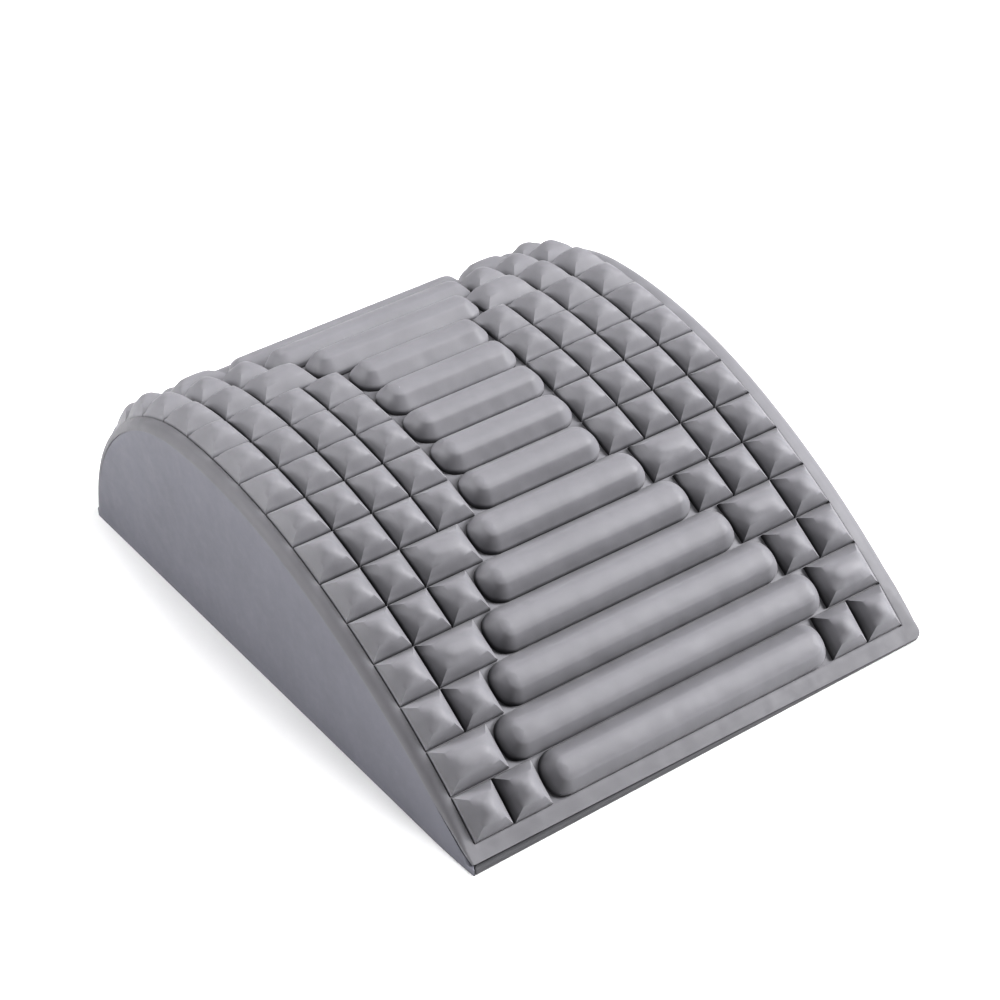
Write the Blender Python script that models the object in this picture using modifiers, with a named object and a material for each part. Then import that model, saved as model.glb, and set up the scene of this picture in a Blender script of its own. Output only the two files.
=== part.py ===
"""Back stretcher pillow, in metres, +Z up and +Y towards its tall back.

A soft massage mat with moulded ribs and pyramids wraps a foam wedge, from a
lip at the front over the crest to the floor at the back. Thin skins cover
the two side walls, and a flat sheet closes the underside. The origin is on
the floor, under the middle of the pillow.

The mat is modelled flat, as it would be cut: x runs across, y along its
surface from the front edge, and z is the height over the surface. It is then
laid over the profile, which is a short lip and a chain of tangent arcs.
"""
import math

import bmesh
import bpy
from mathutils import Euler, Matrix, Vector

# Overall
WIDTH = 0.2626
CLEARANCE = 0.0003

# Profile of the smooth surface between the ribs, from the front edge to the floor
LIP_EDGE = 0.0008
LIP_DEPTH = 0.0070
LIP_SLOPE = math.radians(28.5)
FRONT_SLOPE = math.radians(41.8)
FRONT_RADIUS = 0.382
FRONT_TURN = math.radians(22.2)
CREST_RADIUS = 0.262
CREST_TURN = math.radians(23.0)
SHOULDER_RADIUS = 0.1005
SHOULDER_TURN = math.radians(85.0)

# Mat
MAT_THICKNESS = 0.0050
EDGE_ROUNDING = 0.0035
EDGE_SEGMENTS = 3
SIDE_BORDER = 0.0060
BACK_BORDER = 0.0080

# Massage cells: pitch, and the groove that parts them
CELL_PITCH = 0.0216
ROW_PITCH = 0.0229
GROOVE_WIDTH = 0.0012
LONG_CELL = 1.5
FRONT_ROWS = ((1, 1), (LONG_CELL,), (1, 1), (1, LONG_CELL), (1, 1, 1), (1, 1, LONG_CELL))
WAIST_ROW = (1, 1, 1, 1)

# Pyramids and ribs: height over the groove, and width of the blunt top
PYRAMID_HEIGHT = 0.0074
PYRAMID_TOP = 0.0030
RIB_HEIGHT = 0.0077
RIB_TOP = 0.0040
RIB_END_SEGMENTS = 6

# Their sections from groove to top, as shares of the run inwards and of the height
PYRAMID_CURVE = ((0.07, 0.27), (0.86, 0.92), (1.0, 1.0))
RIB_CURVE = ((0.07, 0.28), (0.36, 0.70), (0.69, 0.92), (1.0, 1.0))

# Side skins and base
SKIN_THICKNESS = 0.0020
BASE_THICKNESS = 0.0032
BASE_EDGE_ROUNDING = 0.0006
OUTLINE_STEP = 0.0115

# Closer than this, two places are the same
SMALL = 1e-6


def clear_scene():
    """Remove what the file opened with."""
    for item in list(bpy.data.objects):
        bpy.data.objects.remove(item, do_unlink=True)


def make_material(name, colour, roughness):
    """A plain material with one colour and one roughness."""
    material = bpy.data.materials.new(name)
    material.use_nodes = True
    shader = material.node_tree.nodes["Principled BSDF"]
    shader.inputs["Base Color"].default_value = (*colour, 1.0)
    shader.inputs["Roughness"].default_value = roughness
    shader.inputs["Metallic"].default_value = 0.0
    return material


# The profile

def arc_end(start, slope, radius, turn):
    """Where an arc ends that bends down from a slope, and its slope there."""
    end_slope = slope - turn
    run = radius * (math.sin(slope) - math.sin(end_slope))
    rise = radius * (math.cos(end_slope) - math.cos(slope))
    return start + Vector((run, rise)), end_slope


class Profile:
    """The line that the mat's smooth surface follows, measured along itself."""

    def __init__(self):
        self.texture_start = LIP_DEPTH / math.cos(LIP_SLOPE)
        front_edge = Vector((0.0, BASE_THICKNESS + CLEARANCE + LIP_EDGE))
        self.pieces = [(0.0, front_edge, LIP_SLOPE, None)]
        place = front_edge + Vector((LIP_DEPTH, LIP_DEPTH * math.tan(LIP_SLOPE)))
        length = self.texture_start
        slope = FRONT_SLOPE
        arcs = ((FRONT_RADIUS, FRONT_TURN), (CREST_RADIUS, CREST_TURN), (SHOULDER_RADIUS, SHOULDER_TURN))
        for radius, turn in arcs:
            self.pieces.append((length, place, slope, radius))
            place, slope = arc_end(place, slope, radius, turn)
            length += radius * turn
        self.pieces.append((length, place, slope, None))
        self.length = length + max(place.y, 0.0) / max(-math.sin(slope), 0.1)
        self.back = self.place(self.length)[0].x

    def place(self, length):
        """The point (y, z) and the slope at a length along the profile."""
        start, origin, slope, radius = [piece for piece in self.pieces if piece[0] <= length + SMALL][-1]
        along = length - start
        if radius is None:
            return origin + along * Vector((math.cos(slope), math.sin(slope))), slope
        return arc_end(origin, slope, radius, along / radius)

    def offset_point(self, length, height):
        """The point (y, z) at a height over the profile."""
        point, slope = self.place(length)
        if abs(length - self.texture_start) < SMALL:
            slope = (LIP_SLOPE + FRONT_SLOPE) / 2
        normal = Vector((-math.sin(slope), math.cos(slope)))
        return point + height * normal

    def row_count(self):
        """How many rows of massage cells fit between the lip and the back border."""
        room = self.length - self.texture_start - BASE_THICKNESS - BACK_BORDER
        return max(int(room / ROW_PITCH + SMALL), 2 * len(FRONT_ROWS) + 1)

    def stations(self):
        """Lengths along the profile where the mat and the wedge under it are bent."""
        lengths = [0.0, self.texture_start]
        for row in range(self.row_count()):
            low, high = self.row_span(row)
            lengths += [low, (low + high) / 2, high]
        last = self.texture_start + self.row_count() * ROW_PITCH
        steps = max(int((self.length - last) / OUTLINE_STEP), 1)
        lengths += [last + (self.length - last) * step / steps for step in range(steps + 1)]
        return lengths

    def row_span(self, row):
        """Where a row's cells start and end, inside the grooves."""
        low = self.texture_start + row * ROW_PITCH
        return low + GROOVE_WIDTH / 2, low + ROW_PITCH - GROOVE_WIDTH / 2


# Flat modelling of the mat

def row_pattern(row, count):
    """Cell widths of a row, in pitches, from its outer edge to its rib."""
    from_end = min(row, count - 1 - row)
    return FRONT_ROWS[from_end] if from_end < len(FRONT_ROWS) else WAIST_ROW


def top_faces(mesh, low, high, left=-1.0, right=1.0):
    """Flat faces on the mat's surface whose middle lies in the given box."""
    found = []
    for face in mesh.faces:
        middle = face.calc_center_median()
        if face.normal.z > 0.99 and abs(middle.z) < SMALL:
            if low < middle.y < high and left < middle.x < right:
                found.append(face)
    return found


def cut(mesh, faces, point, normal):
    """Cut the given faces along a line, and leave the others whole."""
    geometry = set(faces)
    for face in faces:
        geometry.update(face.edges)
        geometry.update(face.verts)
    bmesh.ops.bisect_plane(mesh, geom=list(geometry), dist=SMALL, plane_co=point, plane_no=normal)


def cut_through(mesh, y):
    """Cut the whole mat across at a length along it."""
    cut(mesh, list(mesh.faces), (0.0, y, 0.0), (0.0, 1.0, 0.0))


def raise_cell(mesh, face, curve, run, height):
    """Raise a face along a section curve, drawn in by the run and lifted to the height."""
    start = (0.0, 0.0)
    for end in curve:
        inset = (end[0] - start[0]) * run
        rise = (end[1] - start[1]) * height
        bmesh.ops.inset_individual(mesh, faces=[face], thickness=inset, depth=rise, use_even_offset=True)
        start = end


def round_rib_end(mesh, low, high, tip, inwards):
    """Cut one end of a rib's outline to a half circle, chord by chord."""
    radius = (high - low) / 2
    middle = (low + high) / 2
    centre = Vector((tip + inwards * radius, middle, 0.0))
    for step in range(RIB_END_SEGMENTS):
        angles = [math.pi / 2 + math.pi * (step + k) / RIB_END_SEGMENTS for k in (0, 1)]
        start, end = [centre + radius * Vector((inwards * math.cos(a), math.sin(a), 0.0)) for a in angles]
        upper = (start.y + end.y) / 2 > middle
        half = top_faces(mesh, middle, high) if upper else top_faces(mesh, low, middle)
        widest = max(half, key=lambda face: face.calc_area())
        along = end - start
        cut(mesh, [widest], start, (along.y, -along.x, 0.0))


def model_row(mesh, profile, row, count):
    """Cut and raise the cells and the rib of one row."""
    low, high = profile.row_span(row)
    middle = (low + high) / 2
    edge = WIDTH / 2 - SIDE_BORDER
    cells = []
    for side in (-1, 1):
        reach = edge
        for width in row_pattern(row, count):
            outer = reach - GROOVE_WIDTH / 2
            reach -= width * CELL_PITCH
            cells.append(sorted((side * outer, side * (reach + GROOVE_WIDTH / 2))))
    rib_tip = reach - GROOVE_WIDTH / 2
    for left, right in cells + [[-rib_tip, rib_tip]]:
        for x in (left, right):
            cut(mesh, top_faces(mesh, low, high), (x, middle, 0.0), (1.0, 0.0, 0.0))
    round_rib_end(mesh, low, high, -rib_tip, 1)
    round_rib_end(mesh, low, high, rib_tip, -1)
    pyramid_run = (min(CELL_PITCH, ROW_PITCH) - GROOVE_WIDTH - PYRAMID_TOP) / 2
    for left, right in cells:
        cell = bmesh.utils.face_join(top_faces(mesh, low, high, left, right), True)
        raise_cell(mesh, cell, PYRAMID_CURVE, pyramid_run, PYRAMID_HEIGHT)
    halves = [max(top_faces(mesh, *span), key=lambda face: face.calc_area())
              for span in ((low, middle), (middle, high))]
    rib = bmesh.utils.face_join(halves, True)
    raise_cell(mesh, rib, RIB_CURVE, (high - low - RIB_TOP) / 2, RIB_HEIGHT)


def flat_mat(profile):
    """The mat laid out flat, with its rounded side edges, cells and ribs."""
    mesh = bmesh.new()
    size = Matrix.Diagonal((WIDTH, profile.length, MAT_THICKNESS, 1.0))
    place = Matrix.Translation((0.0, profile.length / 2, -MAT_THICKNESS / 2))
    bmesh.ops.create_cube(mesh, size=1.0, matrix=place @ size)
    sides = [edge for edge in mesh.edges
             if all(v.co.z > -SMALL for v in edge.verts)
             and edge.verts[0].co.x * edge.verts[1].co.x > 0]
    bmesh.ops.bevel(mesh, geom=sides, offset=EDGE_ROUNDING, segments=EDGE_SEGMENTS,
                    profile=0.5, affect='EDGES')
    for length in profile.stations()[1:-1]:
        cut_through(mesh, length)
    count = profile.row_count()
    for row in range(count):
        model_row(mesh, profile, row, count)
    return mesh


# Pieces

def add_object(base, name, data, material):
    """An object with one material, parented to the pillow's base point."""
    item = bpy.data.objects.new(name, data)
    item.data.materials.append(material)
    item.parent = base
    base.users_collection[0].objects.link(item)
    return item


def make_mat(base, profile, material):
    """The massage mat, laid over the profile and cut level above the base sheet."""
    mesh = flat_mat(profile)
    for vertex in mesh.verts:
        place = profile.offset_point(vertex.co.y, vertex.co.z)
        vertex.co = Vector((vertex.co.x, place.x, place.y))
    geometry = list(mesh.verts) + list(mesh.edges) + list(mesh.faces)
    level = (0.0, 0.0, BASE_THICKNESS + CLEARANCE)
    bmesh.ops.bisect_plane(mesh, geom=geometry, dist=SMALL, plane_co=level,
                           plane_no=(0.0, 0.0, 1.0), clear_inner=True)
    rims = [edge for edge in mesh.edges if edge.is_boundary]
    bmesh.ops.holes_fill(mesh, edges=rims, sides=0)
    bmesh.ops.triangulate(mesh, faces=list(mesh.faces), quad_method='BEAUTY', ngon_method='BEAUTY')
    bmesh.ops.recalc_face_normals(mesh, faces=list(mesh.faces))
    data = bpy.data.meshes.new("massage_mat")
    mesh.to_mesh(data)
    mesh.free()
    data.shade_smooth()
    data.set_sharp_from_angle(angle=math.radians(35))
    return add_object(base, "massage_mat", data, material)


def outline_under_mat(profile, floor):
    """Points (y, z) just under the mat, from one crossing of a level to the other."""
    depth = MAT_THICKNESS + CLEARANCE
    line = [profile.offset_point(length, -depth) for length in profile.stations()]
    points = []
    for first, second in zip(line, line[1:]):
        if (first.y - floor) * (second.y - floor) < 0:
            share = (floor - first.y) / (second.y - first.y)
            points.append(first.lerp(second, share))
        if second.y > floor:
            points.append(second)
    return points


def make_slab(base, name, outline, middle_x, thickness, material):
    """A flat outline in the side view, given a thickness across the pillow."""
    curve = bpy.data.curves.new(name, 'CURVE')
    curve.dimensions = '2D'
    curve.fill_mode = 'BOTH'
    curve.extrude = thickness / 2
    spline = curve.splines.new('POLY')
    spline.points.add(len(outline) - 1)
    for point, place in zip(spline.points, outline):
        point.co = (place[0], place[1], 0.0, 1.0)
    spline.use_cyclic_u = True
    item = add_object(base, name, curve, material)
    item.location = (middle_x, 0.0, 0.0)
    item.rotation_euler = Euler((math.pi / 2, 0.0, math.pi / 2))
    weld = item.modifiers.new("weld_caps", 'WELD')
    weld.merge_threshold = 0.00001
    return item


def make_core(base, profile, material):
    """The foam wedge that carries the mat."""
    width = WIDTH - 2 * (SKIN_THICKNESS + CLEARANCE)
    outline = outline_under_mat(profile, BASE_THICKNESS + CLEARANCE)
    return make_slab(base, "foam_core", outline, 0.0, width, material)


def make_side_skins(base, profile, material):
    """The two skins that close the side walls, down to the floor."""
    back = profile.back
    feet = [(back, BASE_THICKNESS), (back, 0.0), (0.0, 0.0), (0.0, BASE_THICKNESS)]
    outline = [tuple(point) for point in outline_under_mat(profile, BASE_THICKNESS)] + feet
    for name, side in (("left_side_skin", -1), ("right_side_skin", 1)):
        middle_x = side * (WIDTH - SKIN_THICKNESS) / 2
        make_slab(base, name, outline, middle_x, SKIN_THICKNESS, material)


def make_base(base, profile, material):
    """The sheet that closes the underside, between the side skins."""
    width = WIDTH - 2 * (SKIN_THICKNESS + CLEARANCE)
    mesh = bmesh.new()
    size = Matrix.Diagonal((width, profile.back, BASE_THICKNESS, 1.0))
    place = Matrix.Translation((0.0, profile.back / 2, BASE_THICKNESS / 2))
    bmesh.ops.create_cube(mesh, size=1.0, matrix=place @ size)
    data = bpy.data.meshes.new("base_sheet")
    mesh.to_mesh(data)
    mesh.free()
    item = add_object(base, "base_sheet", data, material)
    bevel = item.modifiers.new("rounded_edges", 'BEVEL')
    bevel.width = BASE_EDGE_ROUNDING
    bevel.segments = 2
    return item


def main():
    clear_scene()
    collection = bpy.data.collections.new("back_stretcher_pillow")
    bpy.context.scene.collection.children.link(collection)
    base = bpy.data.objects.new("pillow_base_point", None)
    collection.objects.link(base)
    profile = Profile()
    mat_foam = make_material("mat_foam", (0.38, 0.38, 0.40), 0.62)
    core_foam = make_material("core_foam", (0.30, 0.30, 0.31), 0.85)
    skin_foam = make_material("skin_foam", (0.36, 0.36, 0.39), 0.60)
    base_rubber = make_material("base_rubber", (0.27, 0.27, 0.28), 0.75)
    mat = make_mat(base, profile, mat_foam)
    lengthwise = [vertex.co.y for vertex in mat.data.vertices]
    base.location.y = -(min(lengthwise) + max(lengthwise)) / 2
    make_core(base, profile, core_foam)
    make_side_skins(base, profile, skin_foam)
    make_base(base, profile, base_rubber)


main()
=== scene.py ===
"""Back stretcher pillow: the visual model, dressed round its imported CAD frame.

A soft massage mat with moulded ribs and blunt pyramids wraps a foam wedge.
Two skins close the side walls and a thin sheet closes the underside.

The mat is modelled flat, as it would be cut: x runs across, y along its
surface from the front edge, and z is the height over the surface. It is then
laid over the side line that the CAD has. All sizes are in metres.
"""
import logging
import math
from collections.abc import Callable, Iterator
from dataclasses import dataclass
from enum import Enum
from functools import cached_property

import bmesh
import bpy
from bmesh.types import BMEdge, BMFace, BMVert
from bpy.types import Material, MeshVertex, Node, NodeSocket, NodeTree, Object, World
from mathutils import Matrix, Vector


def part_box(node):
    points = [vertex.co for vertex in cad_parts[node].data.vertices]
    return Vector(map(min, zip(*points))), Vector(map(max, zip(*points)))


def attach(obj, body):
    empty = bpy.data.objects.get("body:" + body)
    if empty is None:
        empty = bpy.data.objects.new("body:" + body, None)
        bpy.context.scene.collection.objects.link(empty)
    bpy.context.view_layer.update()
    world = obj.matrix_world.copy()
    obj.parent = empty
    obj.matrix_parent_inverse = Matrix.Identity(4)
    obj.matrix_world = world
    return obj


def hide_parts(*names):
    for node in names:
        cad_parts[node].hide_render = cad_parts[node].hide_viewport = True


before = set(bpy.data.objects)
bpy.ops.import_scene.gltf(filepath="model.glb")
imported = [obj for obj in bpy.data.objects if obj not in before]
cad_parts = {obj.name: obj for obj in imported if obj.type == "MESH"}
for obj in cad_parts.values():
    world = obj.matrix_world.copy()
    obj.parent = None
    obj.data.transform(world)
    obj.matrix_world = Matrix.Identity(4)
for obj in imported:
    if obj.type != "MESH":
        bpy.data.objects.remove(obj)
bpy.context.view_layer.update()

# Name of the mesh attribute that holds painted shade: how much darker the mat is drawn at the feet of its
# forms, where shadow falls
GROOVE_SHADE_ATTRIBUTE = "near_groove_floor"

# Closer than this, two places are the same
SMALL = 1e-6

# Points closer than this are merged
MERGE = 5e-6

# A face looks along an axis when its normal's part on that axis is more than this
ALONG_AXIS = 0.9

# Faces that meet at more than this angle make a hard edge
HARD_ANGLE = 1.0

# Fixed values and links of a node, by the names of its inputs
Values = dict[str, float | tuple[float, ...]]
Links = dict[str, NodeSocket]

log = logging.getLogger("pillow")


class Side(Enum):
    """The two sides of the pillow, by the sign of x."""

    LEFT = -1
    RIGHT = 1


class Axis(Enum):
    """The axes, by their place in a vector."""

    X = 0
    Y = 1
    Z = 2


class Part(Enum):
    """What can be selected in a mesh, by the names of Blender's select modes."""

    FACE = "faces"
    EDGE = "edges"
    VERT = "points"


def limited(value: float) -> float:
    """A number held between 0 and 1."""
    return min(max(value, 0.0), 1.0)


# Work in edit mode


def start_edit(piece: Object) -> None:
    """Open one piece in edit mode, with nothing else selected.

    Args:
        piece: The mesh object to open.
    """
    bpy.ops.object.select_all(action='DESELECT')
    piece.select_set(True)
    bpy.context.view_layer.objects.active = piece
    bpy.ops.object.mode_set(mode='EDIT')


def end_edit() -> None:
    """Go back to object mode."""
    bpy.ops.object.mode_set(mode='OBJECT')


def start_shape(add: Callable[..., set[str]], name: str, size: tuple[float, float, float],
                middle: tuple[float, float, float]) -> Object:
    """Add a primitive at its size and place, and leave it open in edit mode, all selected.

    Args:
        add: The operator that adds it.
        name: The object's name.
        size: Its size along each axis.
        middle: Where its middle goes.

    Returns:
        The new piece.
    """
    bpy.ops.object.select_all(action='DESELECT')
    add(size=1.0)
    piece = name_piece(bpy.context.object, name)
    start_edit(piece)
    bpy.ops.mesh.select_all(action='SELECT')
    bpy.ops.transform.resize(value=size)
    bpy.ops.transform.translate(value=middle)
    return piece


def select(piece: Object, part: Part, wanted: Callable[[BMFace | BMEdge | BMVert], bool]) -> int:
    """Select faces, edges or points in edit mode by a test on each.

    Args:
        piece: The piece that is open in edit mode.
        part: What is selected.
        wanted: True for those to select.

    Returns:
        How many are now selected.
    """
    bpy.ops.mesh.select_mode(type=part.name)
    bpy.ops.mesh.select_all(action='DESELECT')
    mesh = bmesh.from_edit_mesh(piece.data)
    all_of = {Part.FACE: mesh.faces, Part.EDGE: mesh.edges, Part.VERT: mesh.verts}
    found = [item for item in all_of[part] if wanted(item)]
    for item in found:
        item.select_set(True)
    if part is Part.VERT:
        mesh.select_flush(True)
    bmesh.update_edit_mesh(piece.data)
    return len(found)


def cut_at(axis: Axis, place: float) -> None:
    """Cut the whole open mesh square to an axis, and keep both sides.

    Args:
        axis: The axis that the cut is square to.
        place: Where on that axis it is.
    """
    normal = [0.0, 0.0, 0.0]
    normal[axis.value] = 1.0
    bpy.ops.mesh.select_all(action='SELECT')
    bpy.ops.mesh.bisect(plane_co=[place * part for part in normal], plane_no=normal, threshold=SMALL)


def cut_off_below(level: float, fill: bool) -> None:
    """Cut away what lies below a level in the open mesh.

    Args:
        level: The height of the cut.
        fill: Whether the cut is closed with faces.
    """
    bpy.ops.mesh.select_all(action='SELECT')
    bpy.ops.mesh.bisect(plane_co=(0.0, 0.0, level), plane_no=(0.0, 0.0, 1.0),
                        use_fill=fill, clear_inner=True, threshold=SMALL)


def tidy_open_mesh() -> None:
    """Merge doubled points and turn all faces outwards in the open mesh."""
    bpy.ops.mesh.select_all(action='SELECT')
    bpy.ops.mesh.remove_doubles(threshold=MERGE)
    bpy.ops.mesh.select_all(action='SELECT')
    bpy.ops.mesh.normals_make_consistent(inside=False)


def face_outwards(piece: Object) -> None:
    """Turn a closed piece's faces round where its volume shows that they point inwards.

    Args:
        piece: The piece that is open in edit mode.
    """
    bpy.ops.mesh.select_all(action='SELECT')
    if bmesh.from_edit_mesh(piece.data).calc_volume(signed=True) < 0.0:
        bpy.ops.mesh.flip_normals()


def is_hard(edge: BMEdge) -> bool:
    """True for an edge where two faces meet at a hard angle."""
    return len(edge.link_faces) == 2 and edge.calc_face_angle(0.0) > HARD_ANGLE


def crease_edges(piece: Object, wanted: Callable[[BMEdge], bool], amount: float) -> None:
    """Crease the edges that pass a test.

    Args:
        piece: The piece that is open in edit mode.
        wanted: True for the edges to crease.
        amount: The crease, from 0 to 1.
    """
    if select(piece, Part.EDGE, wanted):
        bpy.ops.transform.edge_crease(value=amount)


def subdivide_smoothly(piece: Object, levels: int) -> None:
    """Apply a Subdivision Surface modifier that keeps the open rim's corners.

    Args:
        piece: The mesh object.
        levels: How many times it is subdivided.
    """
    bpy.context.view_layer.objects.active = piece
    smooth = piece.modifiers.new("smooth", 'SUBSURF')
    smooth.levels = levels
    smooth.render_levels = levels
    smooth.boundary_smooth = 'PRESERVE_CORNERS'
    bpy.ops.object.modifier_apply(modifier=smooth.name)


def name_piece(piece: Object, name: str) -> Object:
    """Give an object and its mesh one name.

    Args:
        piece: The object.
        name: The name.

    Returns:
        The same object.
    """
    piece.name = name
    piece.data.name = name
    return piece


def smooth_by_angle(piece: Object, degrees: float) -> None:
    """Shade a piece smooth where its faces meet at less than an angle.

    Args:
        piece: The mesh object.
        degrees: The angle from which an edge stays sharp.
    """
    bpy.ops.object.select_all(action='DESELECT')
    piece.select_set(True)
    bpy.context.view_layer.objects.active = piece
    bpy.ops.object.shade_smooth_by_angle(angle=math.radians(degrees))


def round_corner(x: float, depth: float, half_width: float, across: float,
                 deep: float) -> tuple[float, float]:
    """Where a point goes when a square corner of the pillow is rounded off in plan.

    Args:
        x: The point's place across.
        depth: Its distance behind the edge that the corner ends.
        half_width: Half the pillow's width.
        across: How far the rounding reaches across.
        deep: How far it reaches behind the edge.

    Returns:
        The new place across and the new depth.
    """
    out = (abs(x) - (half_width - across)) / across
    fore = (deep - depth) / deep
    if out <= 0.0 or fore <= 0.0:
        return x, depth
    out, fore = limited(out), limited(fore)
    new_out = out * math.sqrt(1.0 - fore * fore / 2.0)
    new_fore = fore * math.sqrt(1.0 - out * out / 2.0)
    side = math.copysign(1.0, x)
    return side * (half_width - across + new_out * across), deep - new_fore * deep


@dataclass(frozen=True)
class Footprint:
    """The pillow's outline on the floor, with its rounded corners.

    Args:
        front: y of its front edge.
        back: y of its back edge.
        half_width: Half its width.
        field_half: Half the width of the massage field.
        left_radius: Radius of its left front corner.
        right_radius: Radius of its right front corner.
        back_across: How far the rounding of the back corners reaches across.
        back_deep: How far it reaches forwards.
        back_cut: Where it is cut once more, as a share of back_across.
        left_front_flare: How far the foot spreads forwards at the left.
        right_front_flare: The same at the right.
        left_flare: How far the foot spreads out to the left.
        tip_share: Length of the left front corner's tip, as a share of the whole.
        tip_flare: How much of the spread to the left remains at the tip.
        right_stretch_front: How many times wider the right border is at the front.
        right_stretch: How many times wider it is behind stretch_reach.
        stretch_reach: Length over which it widens.
        parts: Parts that a rounded corner is cut into.
        skin_reach: Width of a side skin's foot.
        mitre_reach: Length over which that foot thins out at the front.
        mitre_share: How much of its width is gone at the front edge.
        mitre_blend: How far in from the side points still move with it, in its widths.
        press: How far the front joint is pressed down at the right.
        press_reach: Length over which the press fades out.
        press_levels: Heights at which the press starts, is full and ends.
    """

    front: float
    back: float
    half_width: float
    field_half: float
    left_radius: float = 0.0008
    right_radius: float = 0.0038
    back_across: float = 0.0038
    back_deep: float = 0.0036
    back_cut: float = 0.75
    left_front_flare: float = 0.0022
    right_front_flare: float = -0.0010
    left_flare: float = 0.0021
    tip_share: float = 0.10
    tip_flare: float = 0.45
    right_stretch_front: float = 1.30
    right_stretch: float = 1.64
    stretch_reach: float = 0.0240
    parts: int = 4
    skin_reach: float = 0.0023
    mitre_reach: float = 0.0035
    mitre_share: float = 0.9
    mitre_blend: float = 4.0
    press: float = 0.0017
    press_reach: float = 0.0120
    press_levels: tuple[float, float, float] = (0.0012, 0.0046, 0.0095)

    def front_radius(self, x: float) -> float:
        """Radius of the front corner on the side where a point lies."""
        return self.left_radius if x < 0.0 else self.right_radius

    def across(self, x: float) -> float:
        """How far a point lies from the left edge, as a share of the width."""
        return (x + self.half_width) / (2 * self.half_width)

    def flared(self, x: float, y: float) -> tuple[float, float]:
        """Where a point of the foot goes, since the base spreads a little under the walls.

        Args:
            x: Place across.
            y: Place along.

        Returns:
            The new place.
        """
        across = self.across(x)
        forwards = (self.back - y) / (self.back - self.front)
        front_flare = self.left_front_flare + across * (self.right_front_flare - self.left_front_flare)
        near_tip = limited((forwards - 1.0) / self.tip_share + 1.0)
        left_flare = forwards * self.left_flare * (1.0 - (1.0 - self.tip_flare) * near_tip * near_tip)
        return x - left_flare * (1.0 - across), y - front_flare * forwards

    def cut_corners(self) -> None:
        """Cut the open mesh across where its corners will be rounded."""
        for step in range(1, self.parts + 1):
            share = step / self.parts
            for reach in (share * self.left_radius, share * self.right_radius):
                cut_at(Axis.Y, self.front + reach)
            cut_at(Axis.Y, self.back - share * self.back_deep)
        cut_at(Axis.Y, self.front + self.mitre_reach)

    def cut_sides(self) -> None:
        """Cut the open mesh along its length where its corners will be rounded."""
        for side in Side:
            for reach in (self.right_radius, self.back_across * self.back_cut, self.back_across):
                cut_at(Axis.X, side.value * (self.half_width - reach))

    def round_corners(self, piece: Object, foot: float) -> None:
        """Round a piece's corners in plan, and spread its foot.

        Args:
            piece: The mesh, in the row frame.
            foot: Height up to which it spreads.
        """
        for vertex in piece.data.vertices:
            x, y, height = vertex.co
            if height < foot:
                x = self.mitred(x, y)
            radius = self.front_radius(x)
            x, depth = round_corner(x, y - self.front, self.half_width, radius, radius)
            x, depth = round_corner(x, self.back - self.front - depth, self.half_width,
                                    self.back_across, self.back_deep)
            y = self.back - depth
            if height < foot:
                x, y = self.flared(x, y)
            vertex.co = Vector((x, y, height))
        self.widen_right_border(piece)
        self.press_front(piece)

    def mitred(self, x: float, y: float) -> float:
        """Where a point of the foot goes across, as the skins thin out at the front corners.

        Args:
            x: Place across.
            y: Place along.

        Returns:
            The new place across.
        """
        near = limited(1.0 - (y - self.front) / self.mitre_reach)
        inwards = self.half_width - abs(x)
        thinned = self.skin_reach * (1.0 - self.mitre_share * near)
        blended = self.mitre_blend * self.skin_reach
        if inwards <= self.skin_reach:
            inwards *= thinned / self.skin_reach
        elif inwards < blended:
            part = (inwards - self.skin_reach) / (blended - self.skin_reach)
            inwards = thinned + part * (blended - thinned)
        return math.copysign(self.half_width - inwards, x)

    def press_front(self, piece: Object) -> None:
        """Press the front joint between the lip and the base lower towards the right.

        Args:
            piece: The finished shape of a piece that reaches the front.
        """
        low, full, high = self.press_levels
        for vertex in piece.data.vertices:
            x, y, z = vertex.co
            near = limited(1.0 - (y - self.front) / self.press_reach)
            part = (z - low) / (full - low) if z < full else (high - z) / (high - full)
            vertex.co.z -= self.press * limited(self.across(x)) * near * limited(part)

    def widen_right_border(self, piece: Object) -> None:
        """Stretch what lies beyond the massage field on the right, where the border is wider.

        Args:
            piece: The finished shape of a piece that reaches the right side.
        """
        for vertex in piece.data.vertices:
            over = vertex.co.x - self.field_half
            if over > 0.0:
                grown = limited((vertex.co.y - self.front) / self.stretch_reach)
                stretch = self.right_stretch_front + grown * (self.right_stretch - self.right_stretch_front)
                vertex.co.x = self.field_half + over * stretch
        piece.data.update()


# The side line and the layout of the mat


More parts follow.
